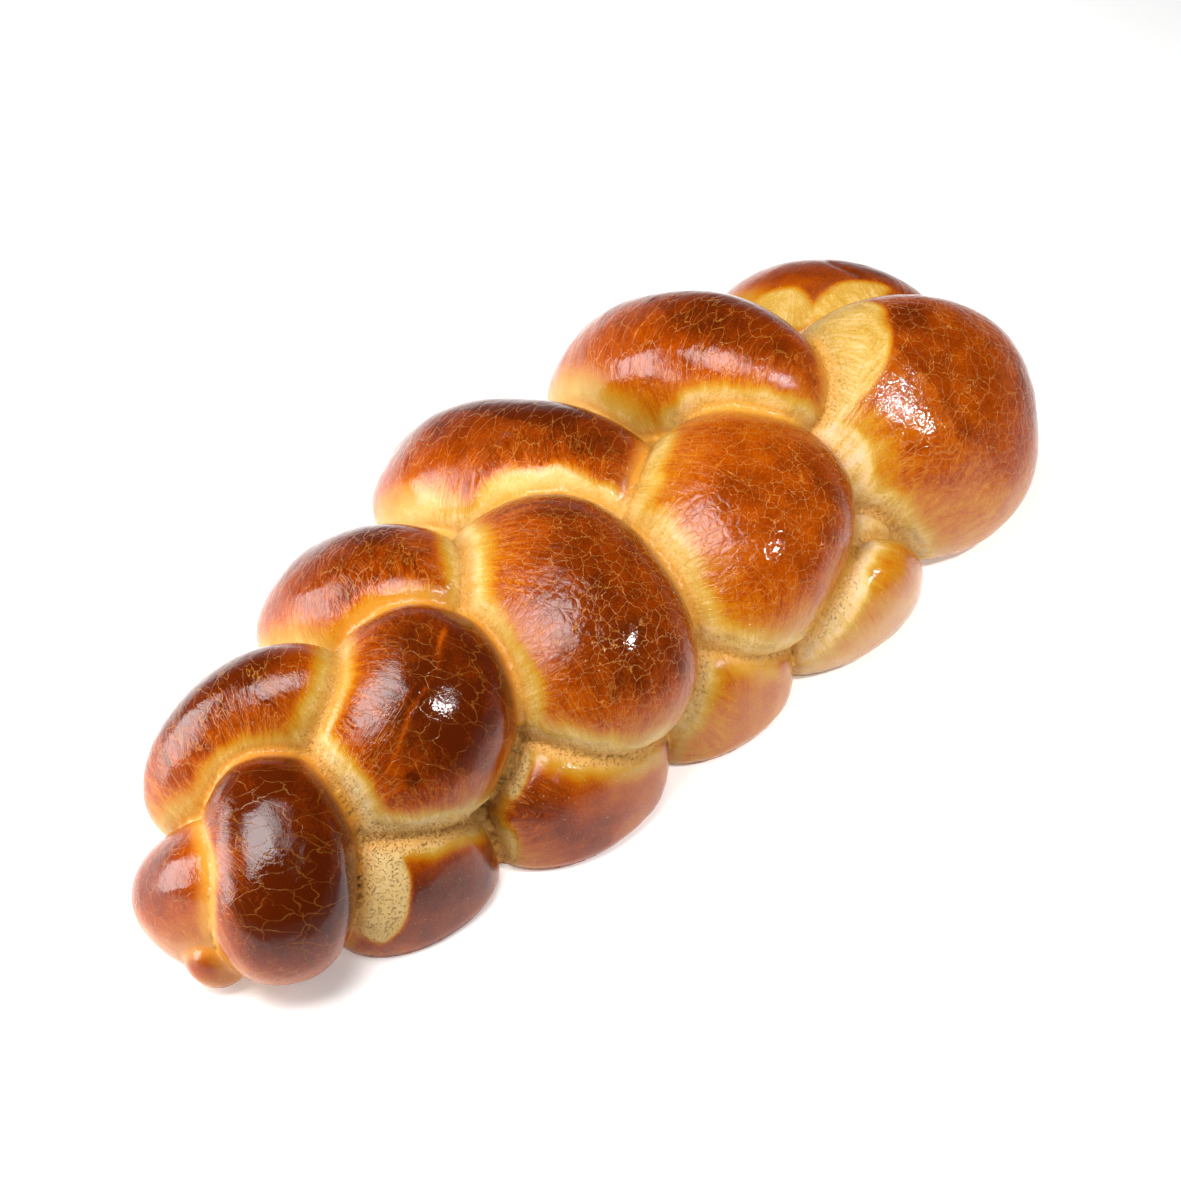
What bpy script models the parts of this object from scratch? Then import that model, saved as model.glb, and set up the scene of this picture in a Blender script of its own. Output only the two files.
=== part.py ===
"""Braided loaf: four strands plaited into one long oval loaf, thin at the tail, thick at the head.

A strand makes a hump wherever it passes over another. The humps stand in four rows round the
loaf: two rows on top, and one low on each side. Each hump is an ellipsoid bent along its strand.
A Boolean union joins them, which leaves the folds between the strands, and the loaf is cut flat
where it rests. It is one solid with no moving parts.

Frame: X from tail to head, Y towards the left rows, Z up from the resting face. The origin is
on the resting face, under the middle of the loaf. Sizes are in millimetres here and turned to
metres as each mesh is made.
"""

import math
from dataclasses import dataclass

import bmesh
import bpy
from mathutils import Matrix, Vector

MM = 0.001
FULLNESS = 2.3  # 2 is a plain ellipsoid, more is a little boxier
STEPS_ALONG = 19  # faces from one end of a hump's strand to the other
STEPS_ROUND = 25  # faces round the strand
UNDERSIDE_BLOCK = (500, 300, 80)  # takes away all that is under the resting face
SHORTEST_EDGE = 0.1  # the union leaves slivers in the folds, which are closed up to this size
CRUST_COLOR = (0.38, 0.13, 0.03, 1.0)
CRUST_ROUGHNESS = 0.35


@dataclass(frozen=True)
class Row:
    """What the humps of one row share."""

    lean: float  # degrees that the humps tip towards the tail
    bend_radius: float  # of the strand where it goes over


@dataclass(frozen=True)
class Hump:
    """One hump: where its middle is, its half sizes, and how its strand runs.

    `around` is the side that it faces: 0 is right (-Y), 90 is up, 180 is left.
    `heading` turns its strand from straight across the loaf (0) to along it (90).
    """

    row: Row
    middle: tuple[float, float, float]
    half_length: float
    half_width: float
    half_depth: float
    around: float
    heading: float


UPPER_LEFT = Row(lean=12, bend_radius=74)
UPPER_RIGHT = Row(lean=14, bend_radius=105)
LOW = Row(lean=10, bend_radius=250)
INSIDE = Row(lean=0, bend_radius=4000)

HUMPS = (
    # Upper left row, from tail to head.
    Hump(UPPER_LEFT, (-170, -10.5, 21), 32, 22, 27, 123, -25),
    Hump(UPPER_LEFT, (-131.5, 14, 41), 41.5, 23, 31.5, 133, -45),
    Hump(UPPER_LEFT, (-64.5, 30, 44.5), 44, 28.5, 30, 123, -19),
    Hump(UPPER_LEFT, (15, 34.5, 44), 59.5, 33, 33, 102, -19),
    Hump(UPPER_LEFT, (91.5, 28, 48.5), 63.5, 30, 36, 124, -7),
    Hump(UPPER_LEFT, (157.5, 15.5, 33.5), 51, 35.5, 30, 105, -16),
    # Upper right row, each hump between two of the left row.
    Hump(UPPER_RIGHT, (-158, -20.5, 31.5), 37, 26, 29, 61, 36),
    Hump(UPPER_RIGHT, (-95.5, -17.5, 45), 41.5, 35, 32.5, 54, 65),
    Hump(UPPER_RIGHT, (-27.5, -27, 49.5), 50, 40, 33, 81, 14),
    Hump(UPPER_RIGHT, (45, -38, 48.5), 47.5, 41.5, 30.5, 77, 72),
    Hump(UPPER_RIGHT, (138.5, -39.5, 38.5), 47, 53, 36, 42, 26),
    # Low right row.
    Hump(LOW, (-119.5, -39.5, 7.5), 31.5, 32.5, 24, 7, 67),
    Hump(LOW, (-53, -50.5, 12), 37, 32.5, 26.5, 12, 68),
    Hump(LOW, (12, -54, 10), 33.5, 32.5, 26, 5, 68),
    Hump(LOW, (72.5, -69, 11.5), 34, 33.5, 17, -21, 67),
    # Low left row, under the humps of the upper left one.
    Hump(LOW, (-98, 20.5, 15), 34, 32, 27, 173, 113),
    Hump(LOW, (-25, 29.5, 15), 38, 32, 30, 173, 113),
    Hump(LOW, (53, 33.5, 16), 38, 32, 30, 173, 113),
    Hump(LOW, (124, 24.5, 18), 36, 33, 30, 173, 113),
    # Strand ends, tucked in at the tail and at the head.
    Hump(LOW, (-182, -18.5, 12), 14, 11, 11, 20, 60),
    Hump(LOW, (164, -15.5, 16), 30, 30, 26, 90, 90),
    # The dough between and under them, which leaves no hollow inside.
    Hump(INSIDE, (-3, -7.5, 26), 164, 36, 33, 90, 90),
    Hump(INSIDE, (4, -6.5, 6), 164, 48, 14, 90, 90),
)


def axes_of(hump: Hump) -> Matrix:
    """Turns the hump's own axes to the loaf's: along its strand, across it, out of the loaf."""
    around = math.radians(hump.around)
    heading = math.radians(hump.heading)
    lean = math.radians(hump.row.lean)
    along_loaf = Vector((1, 0, 0))
    facing = Vector((0, -math.cos(around), math.sin(around)))
    across_loaf = Vector((0, math.sin(around), math.cos(around)))
    out = facing * math.cos(lean) - along_loaf * math.sin(lean)
    level = along_loaf * math.cos(lean) + facing * math.sin(lean)
    along = across_loaf * math.cos(heading) + level * math.sin(heading)
    return Matrix((along, out.cross(along), out)).transposed()


def bent_point(hump: Hump, unit: Vector) -> Vector:
    """Takes a point of the unit sphere to the hump's skin, in the hump's own axes."""
    size = sum(abs(part) ** FULLNESS for part in unit) ** (1 / FULLNESS)
    along = unit.x / size * hump.half_length
    across = unit.y / size * hump.half_width
    out = unit.z / size * hump.half_depth
    radius = hump.row.bend_radius
    turn = along / radius
    reach = radius + out
    return Vector((reach * math.sin(turn), across, reach * math.cos(turn) - radius)) * MM


def add_object(name: str, bm: bmesh.types.BMesh) -> bpy.types.Object:
    mesh = bpy.data.meshes.new(name)
    bm.to_mesh(mesh)
    bm.free()
    obj = bpy.data.objects.new(name, mesh)
    bpy.context.scene.collection.objects.link(obj)
    return obj


def add_hump(name: str, hump: Hump) -> bpy.types.Object:
    """One closed hump, with the poles of its sphere at the two ends of its strand."""
    bm = bmesh.new()
    poles_along = Matrix.Rotation(math.radians(90), 4, "Y")
    bmesh.ops.create_uvsphere(
        bm, u_segments=STEPS_ROUND, v_segments=STEPS_ALONG, radius=1, matrix=poles_along
    )
    for vertex in bm.verts:
        vertex.co = bent_point(hump, vertex.co.normalized())
    obj = add_object(name, bm)
    turned = axes_of(hump).to_4x4()
    obj.matrix_world = Matrix.Translation(Vector(hump.middle) * MM) @ turned
    return obj


def add_underside_block() -> bpy.types.Object:
    """A block whose top is the resting face."""
    bm = bmesh.new()
    bmesh.ops.create_cube(bm, size=1)
    bmesh.ops.scale(bm, vec=Vector(UNDERSIDE_BLOCK) * MM, verts=bm.verts)
    block = add_object("underside", bm)
    block.location.z = -UNDERSIDE_BLOCK[2] * MM / 2
    return block


def make_helper(obj: bpy.types.Object) -> None:
    obj.hide_render = True
    obj.display_type = "WIRE"


def join_humps(loaf: bpy.types.Object, others: list[bpy.types.Object]) -> None:
    helpers = bpy.data.collections.new("humps")
    bpy.context.scene.collection.children.link(helpers)
    helpers.hide_render = True
    for obj in others:
        bpy.context.scene.collection.objects.unlink(obj)
        helpers.objects.link(obj)
        make_helper(obj)
    union = loaf.modifiers.new("Join the humps", "BOOLEAN")
    union.operation = "UNION"
    union.solver = "EXACT"
    union.operand_type = "COLLECTION"
    union.collection = helpers


def cut_flat(loaf: bpy.types.Object) -> None:
    block = add_underside_block()
    make_helper(block)
    cut = loaf.modifiers.new("Resting face", "BOOLEAN")
    cut.operation = "DIFFERENCE"
    cut.solver = "EXACT"
    cut.object = block


def close_slivers(loaf: bpy.types.Object) -> None:
    weld = loaf.modifiers.new("Close slivers", "WELD")
    weld.merge_threshold = SHORTEST_EDGE * MM


def crust() -> bpy.types.Material:
    material = bpy.data.materials.new("crust")
    material.use_nodes = True
    surface = material.node_tree.nodes["Principled BSDF"]
    surface.inputs["Base Color"].default_value = CRUST_COLOR
    surface.inputs["Roughness"].default_value = CRUST_ROUGHNESS
    surface.inputs["Metallic"].default_value = 0.0
    material.diffuse_color = CRUST_COLOR
    return material


def main() -> None:
    for obj in list(bpy.data.objects):
        bpy.data.objects.remove(obj, do_unlink=True)
    *outer, inner = HUMPS
    loaf = add_hump("loaf", inner)
    loaf.data.materials.append(crust())
    join_humps(loaf, [add_hump(f"hump_{i}", hump) for i, hump in enumerate(outer)])
    cut_flat(loaf)
    close_slivers(loaf)


main()
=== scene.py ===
"""Braided loaf: four strands of egg-washed dough plaited and baked, dressed for rendering.

The skin of the loaf is worked out from its humps, the places where a strand passes over another.
The humps are joined into one closed mesh, its points are laid exactly on the blended humps, and
wrinkles, tears, pits and creases are raised on it. Every point also learns how far the nearest
fold is, since a fold decides how brown the crust is: dough that was covered while the loaf was
brushed with egg, and came out as it rose, stays pale.

Frame: X from tail to head, Y towards the left rows, Z up from the resting face. Sizes of the dough
are in millimetres here and are turned to metres when the mesh is made.
"""

import logging
import math
from dataclasses import dataclass, field
from enum import Enum

import bmesh
import bpy
import numpy as np
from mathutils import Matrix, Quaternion, Vector


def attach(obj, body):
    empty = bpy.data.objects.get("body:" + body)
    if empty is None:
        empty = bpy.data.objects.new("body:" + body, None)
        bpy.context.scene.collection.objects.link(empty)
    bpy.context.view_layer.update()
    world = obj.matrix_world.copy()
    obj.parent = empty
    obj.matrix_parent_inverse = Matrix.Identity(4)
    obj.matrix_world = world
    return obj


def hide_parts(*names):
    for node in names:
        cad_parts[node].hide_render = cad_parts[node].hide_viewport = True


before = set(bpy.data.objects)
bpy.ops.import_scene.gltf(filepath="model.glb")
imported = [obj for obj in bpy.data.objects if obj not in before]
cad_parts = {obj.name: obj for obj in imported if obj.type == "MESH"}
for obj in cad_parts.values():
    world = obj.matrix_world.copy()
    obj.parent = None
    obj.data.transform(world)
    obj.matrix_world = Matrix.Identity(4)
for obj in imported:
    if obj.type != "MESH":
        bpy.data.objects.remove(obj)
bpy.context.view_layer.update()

MM = 0.001
FULLNESS = 2.3  # 2 is a plain ellipsoid, more is a little boxier
FAR = 60.0  # millimetres, further than any band of pale dough is wide
log = logging.getLogger("braided_loaf")


def linear(colour: str) -> tuple[float, float, float, float]:
    """Turns an sRGB hex colour to linear light.

    Args:
        colour: Six hex digits after a #.

    Returns:
        Red, green, blue and an alpha of 1.
    """
    parts = [int(colour[i : i + 2], 16) / 255 for i in (1, 3, 5)]
    light = [p / 12.92 if p <= 0.04045 else ((p + 0.055) / 1.055) ** 2.4 for p in parts]
    return light[0], light[1], light[2], 1.0


def smooth(values: np.ndarray, low: float, high: float) -> np.ndarray:
    """A soft step from 0 at low to 1 at high.

    Args:
        values: Where to work it out.
        low: The value where the step starts.
        high: The value where it ends.

    Returns:
        The step at each value.
    """
    share = np.clip((values - low) / (high - low), 0, 1)
    return share * share * (3 - 2 * share)


def nearest_of(points: np.ndarray, line: np.ndarray) -> np.ndarray:
    """Args:
        points: Places, one a row.
        line: Other places, one a row.

    Returns:
        How far the nearest of the others is from each place.
    """
    squares = (points**2).sum(axis=1)[:, None] + (line**2).sum(axis=1) - 2 * points @ line.T
    return np.sqrt(np.maximum(squares.min(axis=1), 0))


class Noise:
    """Smooth noise in space, from about -1 to 1, the same on every run."""

    def __init__(self, seed: int) -> None:
        """Args:
            seed: Which of the endless patterns this is.
        """
        self.seed = np.uint64(seed * 7919 + 1)

    def _corner(self, cell: np.ndarray) -> np.ndarray:
        """The fixed random value at a whole-number point."""
        whole = (cell.astype(np.int64) + 4096).astype(np.uint64)
        mixed = whole[:, 0] * np.uint64(73856093) ^ whole[:, 1] * np.uint64(19349663)
        mixed ^= whole[:, 2] * np.uint64(83492791) ^ self.seed * np.uint64(2654435761)
        mixed = (mixed ^ (mixed >> np.uint64(13))) * np.uint64(1274126177)
        mixed = (mixed ^ (mixed >> np.uint64(16))) * np.uint64(2246822519)
        return ((mixed >> np.uint64(8)) & np.uint64(0xFFFF)).astype(float) / 32767.5 - 1

    def at(self, points: np.ndarray, size: float, octaves: int = 1) -> np.ndarray:
        """Args:
            points: Places, one a row, in millimetres.
            size: How wide its lumps are, in millimetres.
            octaves: How many times finer lumps are added, each half as strong.

        Returns:
            The noise at each place.
        """
        total = np.zeros(len(points))
        strength = 1.0
        for _ in range(octaves):
            scaled = points / size + 0.37
            cell = np.floor(scaled)
            part = scaled - cell
            part = part * part * part * (part * (part * 6 - 15) + 10)
            for corner in range(8):
                step = np.array([corner & 1, corner >> 1 & 1, corner >> 2 & 1])
                weight = np.where(step, part, 1 - part).prod(axis=1)
                total += strength * weight * self._corner(cell + step)
            size /= 2
            strength /= 2
        return total


@dataclass(frozen=True)
class RowShape:
    """What the humps of one row share.

    Attributes:
        lean: Degrees that the humps tip towards the tail.
        bend_radius: Of the strand where it goes over, in millimetres.
    """

    lean: float
    bend_radius: float


class Row(Enum):
    """The rows that the humps stand in."""

    UPPER_LEFT = RowShape(12, 74)
    UPPER_RIGHT = RowShape(14, 105)
    LOW = RowShape(10, 250)
    INSIDE = RowShape(0, 4000)


@dataclass(frozen=True)
class Crackle:
    """The net of fine cracks in the egg wash of one hump.

    Attributes:
        cell: Space between cracks, in millimetres.
        stretch: How many times longer the cracks are across the strand than along it.
        strength: How plainly they show, from 0 to 1.
    """

    cell: float = 3.6
    stretch: float = 1.3
    strength: float = 0.7


@dataclass(frozen=True)
class Hump:
    """One hump of dough: where its middle is, its half sizes, and how its strand runs.

    Attributes:
        name: Row letter and number, counted from the tail.
        row: The row that it stands in.
        middle: In millimetres.
        half: Half its length along the strand, its width across it, and its depth.
        around: The side that it faces: 0 is right (-Y), 90 is up, 180 is left.
        heading: Turns its strand from straight across the loaf (0) to along it (90).
        brown: How deeply its top has browned, from 0 to 1.
        crackle: The cracks in its egg wash.
    """

    name: str
    row: Row
    middle: tuple[float, float, float]
    half: tuple[float, float, float]
    around: float
    heading: float
    brown: float = 0.8
    crackle: Crackle = Crackle()

    def axes(self) -> np.ndarray:
        """Unit vectors as columns: along its strand, across it, and out of the loaf."""
        around = math.radians(self.around)
        heading = math.radians(self.heading)
        lean = math.radians(self.row.value.lean)
        along_loaf = np.array([1.0, 0.0, 0.0])
        facing = np.array([0.0, -math.cos(around), math.sin(around)])
        across_loaf = np.array([0.0, math.sin(around), math.cos(around)])
        out = facing * math.cos(lean) - along_loaf * math.sin(lean)
        level = along_loaf * math.cos(lean) + facing * math.sin(lean)
        along = across_loaf * math.cos(heading) + level * math.sin(heading)
        return np.stack([along, np.cross(out, along), out], axis=1)

    def straightened(self, points: np.ndarray) -> np.ndarray:
        """Args:
            points: Places in the loaf's frame, in millimetres.

        Returns:
            The same places measured along, across and out of the strand as if it were straight.
        """
        local = (points - np.array(self.middle)) @ self.axes()
        radius = self.row.value.bend_radius
        return np.stack(
            [
                radius * np.arctan2(local[:, 0], local[:, 2] + radius),
                local[:, 1],
                np.hypot(local[:, 0], local[:, 2] + radius) - radius,
            ],
            axis=1,
        )

    def gap(self, points: np.ndarray) -> np.ndarray:
        """Args:
            points: Places in the loaf's frame, in millimetres.

        Returns:
            How far outside the hump each is, negative inside, and FAR where that is a long way.
        """
        reach = max(self.half) + 14.0
        near = (np.abs(points - np.array(self.middle)) < reach).all(axis=1)
        found = np.full(len(points), FAR)
        share = np.abs(self.straightened(points[near]) / np.array(self.half))
        level = ((share**FULLNESS).sum(axis=1) + 1e-12) ** (1 / FULLNESS)
        steep = np.sqrt((((share ** (FULLNESS - 1)) / np.array(self.half)) ** 2).sum(axis=1))
        found[near] = (level - 1) / (level ** (1 - FULLNESS) * steep + 1e-9)
        return found

    def skin(self, meridians: int, parallels: int) -> tuple[np.ndarray, list[tuple[int, ...]]]:
        """Args:
            meridians: Steps round the hump.
            parallels: Steps from its bottom to its top.

        Returns:
            Points in millimetres, and faces, of the closed hump on its own.
        """
        height = math.pi * (np.arange(1, parallels) / parallels - 0.5)
        turn = math.tau * np.arange(meridians) / meridians
        rings = np.stack(
            [
                np.outer(np.cos(height), np.cos(turn)),
                np.outer(np.cos(height), np.sin(turn)),
                np.outer(np.sin(height), np.ones(meridians)),
            ],
            axis=2,
        ).reshape(-1, 3)
        unit = np.vstack([[0.0, 0.0, -1.0], rings, [0.0, 0.0, 1.0]])
        unit /= (np.abs(unit) ** FULLNESS).sum(axis=1, keepdims=True) ** (1 / FULLNESS)
        local = unit * np.array(self.half)
        radius = self.row.value.bend_radius
        angle = local[:, 0] / radius
        reach = radius + local[:, 2]
        bent = [reach * np.sin(angle), local[:, 1], reach * np.cos(angle) - radius]
        last = len(unit) - 1
        faces: list[tuple[int, ...]] = []
        for step in range(meridians):
            after = (step + 1) % meridians
            faces.append((0, 1 + after, 1 + step))
            faces.append((last, last - meridians + step, last - meridians + after))
            for ring in range(parallels - 2):
                low = 1 + ring * meridians
                high = low + meridians
                faces.append((low + step, low + after, high + after, high + step))
        return np.stack(bent, axis=1) @ self.axes().T + np.array(self.middle), faces


UL, UR, LOW, INSIDE = Row.UPPER_LEFT, Row.UPPER_RIGHT, Row.LOW, Row.INSIDE
ACROSS = Crackle(3.2, 3.4, 0.62)
NET = Crackle(3.3, 1.25, 0.90)
SPARSE = Crackle(6.0, 2.2, 0.50)
FAINT = Crackle(4.0, 1.4, 0.12)

# Each hump lies over those that come after it in this list, and under those before it.
HUMPS = (
    Hump("nub", LOW, (-182, -18.5, 12), (14, 11, 11), 20, 60, 0.84, FAINT),
    Hump("L1", UL, (-170, -10.5, 21), (32, 22, 27), 123, -25, 0.84, Crackle(4.2, 1.6, 0.4)),
    Hump("M1", UR, (-158, -20.5, 31.5), (37, 26, 29), 61, 36, 1.02, Crackle(6.0, 2.2, 0.36)),
    Hump("B1", LOW, (-119.5, -39.5, 7.5), (31.5, 32.5, 24), 7, 67, 1.04, FAINT),
    Hump("L2", UL, (-131.5, 14, 41), (41.5, 23, 31.5), 133, -45, 1.03, ACROSS),
    Hump("M2", UR, (-95.5, -17.5, 45), (41.5, 35, 32.5), 54, 65, 1.00, Crackle(5.2, 2.0, 0.42)),
    Hump("B2", LOW, (-53, -50.5, 12), (37, 32.5, 26.5), 12, 68, 0.98, FAINT),
    Hump("L3", UL, (-64.5, 30, 44.5), (44, 28.5, 30), 123, -19, 1.04, ACROSS),
    Hump("M3", UR, (-27.5, -27, 49.5), (50, 40, 33), 81, 14, 0.92, NET),
    Hump("B3", LOW, (12, -54, 10), (33.5, 32.5, 26), 5, 68, 0.82, FAINT),
    Hump("L4", UL, (15, 34.5, 44), (59.5, 33, 33), 102, -19, 1.00, ACROSS),
    Hump("M4", UR, (45, -38, 48.5), (47.5, 41.5, 30.5), 77, 72, 0.80, NET),
    Hump("B4", LOW, (72.5, -69, 11.5), (34, 33.5, 17), -21, 67, 0.66, FAINT),
    Hump("L5", UL, (91.5, 28, 48.5), (63.5, 30, 36), 124, -7, 0.91, ACROSS),
    Hump("M5", UR, (138.5, -39.5, 38.5), (47, 53, 36), 42, 26, 0.78, NET),
    Hump("tear", LOW, (88, -60, 27), (15, 13, 12.5), 10, 67, 0.12, FAINT),
    Hump("L6", UL, (157.5, 15.5, 33.5), (51, 35.5, 30), 105, -16, 0.90, FAINT),
    Hump("C1", LOW, (-98, 20.5, 15), (34, 32, 27), 173, 113, 0.82, FAINT),
    Hump("C2", LOW, (-25, 29.5, 15), (38, 32, 30), 173, 113, 0.80, FAINT),
    Hump("C3", LOW, (53, 33.5, 16), (38, 32, 30), 173, 113, 0.78, FAINT),
    Hump("C4", LOW, (124, 24.5, 18), (36, 33, 30), 173, 113, 0.78, FAINT),
    Hump("end", LOW, (164, -15.5, 16), (30, 30, 26), 90, 90, 0.78, FAINT),
    Hump("core", INSIDE, (-3, -7.5, 26), (164, 36, 33), 90, 90, 0.30, FAINT),
    Hump("foot", INSIDE, (4, -6.5, 6), (164, 48, 14), 90, 90, 0.60, FAINT),
)


@dataclass(frozen=True)
class Side:
    """How browning sets in on one side of a fold.

    Attributes:
        pale: How baked the dough is in the fold itself, from 0 to 1.
        bare: How far out it stays like that, in millimetres.
        turn: Over what further distance it turns to the brown of its hump, in millimetres.
    """

    pale: float
    bare: float
    turn: float


@dataclass(frozen=True)
class Seam:
    """How the crust is along the fold between two humps.

    Attributes:
        over: The hump that lies on top there.
        under: The hump that goes under it.
        lower: Browning of the one under.
        upper: Browning of the one on top.
        torn: How torn the bare dough is, from 0, smooth, to 1, open crumb.
        sunk: How far the bare dough lies below the crust beside it, in millimetres.
    """

    over: str
    under: str
    lower: Side = Side(0.45, 2.0, 8.0)
    upper: Side = Side(0.72, 0.0, 7.0)
    torn: float = 0.1
    sunk: float = 0.2


DARK_RIM = Side(0.78, 0.0, 9.0)
AMBER_RIM = Side(0.60, 0.0, 12.0)
GOLD_RIM = Side(0.36, 0.0, 9.0)
TORN_RIM = Side(0.30, 3.0, 5.0)

# Two seams with the same names stand for browning that sets in in two steps.
SEAMS = (
    Seam("nub", "L1", Side(0.80, 0.0, 4.0), DARK_RIM),
    Seam("nub", "M1", Side(0.70, 0.0, 4.0), DARK_RIM),
    Seam("L1", "M1", Side(0.20, 1.2, 5.5), Side(0.40, 0.0, 4.0), 0.3),
    Seam("M1", "L2", Side(0.16, 1.5, 8.0), DARK_RIM, 0.25),
    Seam("L1", "L2", Side(0.20, 4.0, 13.0), Side(0.60, 0.0, 6.0), 0.1),
    Seam("L2", "M2", Side(0.24, 2.5, 8.0), Side(0.18, 3.0, 8.0), 0.3),
    Seam("M1", "M2", Side(0.10, 6.5, 8.0), DARK_RIM, 0.55, 0.6),
    Seam("M1", "B1", Side(0.45, 1.0, 6.0), Side(0.85, 0.0, 9.0), 0.4),
    Seam("B1", "M2", Side(0.08, 7.0, 6.0), Side(0.25, 4.0, 6.0), 1.0, 0.6),
    Seam("L2", "L3", Side(0.25, 4.0, 9.0), AMBER_RIM, 0.2),
    Seam("M2", "L3", Side(0.42, 3.5, 8.0), AMBER_RIM, 0.1),
    Seam("L3", "M3", Side(0.12, 5.0, 10.0), Side(0.16, 3.0, 9.0), 0.35),
    Seam("L3", "C1", Side(0.2, 4.0, 9.0), Side(0.18, 3.0, 14.0)),
    Seam("M2", "M3", Side(0.20, 4.5, 7.0), DARK_RIM, 0.3),
    Seam("M2", "B2", Side(0.40, 3.0, 6.0), Side(0.40, 2.0, 8.0), 0.8),
    Seam("B1", "B2", Side(0.34, 4.0, 6.0), Side(0.60, 1.5, 8.0), 0.7, 0.5),
    Seam("B2", "M3", Side(0.14, 6.0, 9.0), Side(0.22, 3.0, 8.0), 0.75, 0.6),
    Seam("L3", "L4", Side(0.22, 5.0, 9.0), AMBER_RIM, 0.15),
    Seam("M3", "L4", Side(0.18, 6.0, 7.0), Side(0.75, 0.0, 8.0), 0.15, 0.3),
    Seam("L4", "M4", Side(0.18, 7.0, 8.0), Side(0.68, 0.0, 9.0), 0.4),
    Seam("L4", "C2", Side(0.2, 4.0, 9.0), Side(0.14, 5.0, 16.0)),
    Seam("M3", "M4", Side(0.20, 6.0, 8.0), AMBER_RIM, 0.25),
    Seam("M3", "B3", Side(0.12, 7.0, 7.0), Side(0.35, 3.0, 9.0), 0.8, 0.6),
    Seam("B2", "B3", Side(0.34, 4.0, 6.0), AMBER_RIM, 0.4),
    Seam("B3", "M4", Side(0.14, 8.0, 8.0), Side(0.30, 2.0, 9.0), 0.55, 0.5),
    Seam("L4", "L5", Side(0.2, 8.0, 9.0), AMBER_RIM),
    Seam("M4", "L5", Side(0.13, 5.0, 6.0), Side(0.40, 0.0, 11.0), 0.3, 0.6),
    Seam("L5", "M5", Side(0.20, 6.0, 6.0), Side(0.56, 0.0, 9.0), 0.45, 0.8),
    Seam("M4", "M5", Side(0.06, 9.0, 8.0), AMBER_RIM, 0.25, 0.6),
    Seam("M4", "M5", Side(0.42, 13.0, 16.0), AMBER_RIM, 0.0, 0.0),
    Seam("L5", "C3", Side(0.2, 4.0, 9.0), Side(0.18, 3.0, 16.0)),
    Seam("M4", "B4", Side(0.05, 7.0, 7.0), Side(0.55, 0.0, 9.0), 0.6, 0.6),
    Seam("B3", "B4", Side(0.2, 2.0, 9.0), Side(0.3, 0.5, 6.0), 0.3),
    Seam("B4", "M5", Side(0.08, 6.0, 7.0), Side(0.25, 2.0, 8.0), 0.7, 0.6),
    Seam("B4", "M5", Side(0.42, 5.0, 22.0), AMBER_RIM, 0.0, 0.0),
    Seam("M4", "tear", Side(0.10, 2.0, 8.0), AMBER_RIM, 0.5),
    Seam("B4", "tear", Side(0.10, 2.0, 8.0), Side(0.20, 3.0, 8.0), 0.6),
    Seam("M5", "tear", Side(0.10, 2.0, 8.0), Side(0.12, 5.0, 9.0), 0.6),
    Seam("L5", "L6", Side(0.50, 1.5, 6.0), AMBER_RIM),
    Seam("M5", "L6", Side(0.45, 1.5, 6.0), AMBER_RIM, 0.2, 0.3),
    Seam("L6", "C4", Side(0.3, 4.0, 9.0), Side(0.3, 5.0, 14.0)),
)


@dataclass(frozen=True)
class Spot:
    """A place on one hump where the crust is unlike the rest.

    Attributes:
        hump: The hump that it is on.
        middle: In millimetres.
        run: The direction that it is longest in, of any length.
        half: Half its length, and half its width, in millimetres.
        turn: Width of its edge, in millimetres.
        baked: How baked the dough is there, or None to leave that alone.
        torn: How torn it is.
        raised: How far it stands up in the middle, negative for a pit, in millimetres.
        pointed: Whether it ends in points, like a leaf.
    """

    hump: str
    middle: tuple[float, float, float]
    run: tuple[float, float, float]
    half: tuple[float, float]
    turn: float
    baked: float | None = None
    torn: float = 0.0
    raised: float = 0.0
    pointed: bool = False

    def away(self, points: np.ndarray) -> np.ndarray:
        """About how far outside the spot each point is, in millimetres."""
        run = np.array(self.run) / np.linalg.norm(self.run)
        place = points - np.array(self.middle)
        along = place @ run
        across = np.linalg.norm(place - along[:, None] * run, axis=1)
        along, across = along / self.half[0], across / self.half[1]
        level = across + along**2 if self.pointed else np.hypot(along, across)
        return (level - 1) * self.half[1]


@dataclass(frozen=True)
class Crease:
    """A line along which the skin has stretched or folded.

    Attributes:
        line: Points that it runs through, in millimetres.
        width: How far it reaches to each side, in millimetres.
        depth: How deep it is, negative for a ridge, in millimetres.
        baked: How baked the dough is along it.
        share: How much of that shows.
    """

    line: tuple[tuple[float, float, float], ...]
    width: float
    depth: float
    baked: float
    share: float

    def away(self, points: np.ndarray) -> np.ndarray:
        """How far each point is from the line, in millimetres."""
        nearest = np.full(len(points), FAR)
        corners = np.array(self.line)
        for start, end in zip(corners[:-1], corners[1:]):
            run = end - start
            share = np.clip((points - start) @ run / (run @ run), 0, 1)
            gap = np.linalg.norm(points - start - share[:, None] * run, axis=1)
            nearest = np.minimum(nearest, gap)
        return nearest


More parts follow.
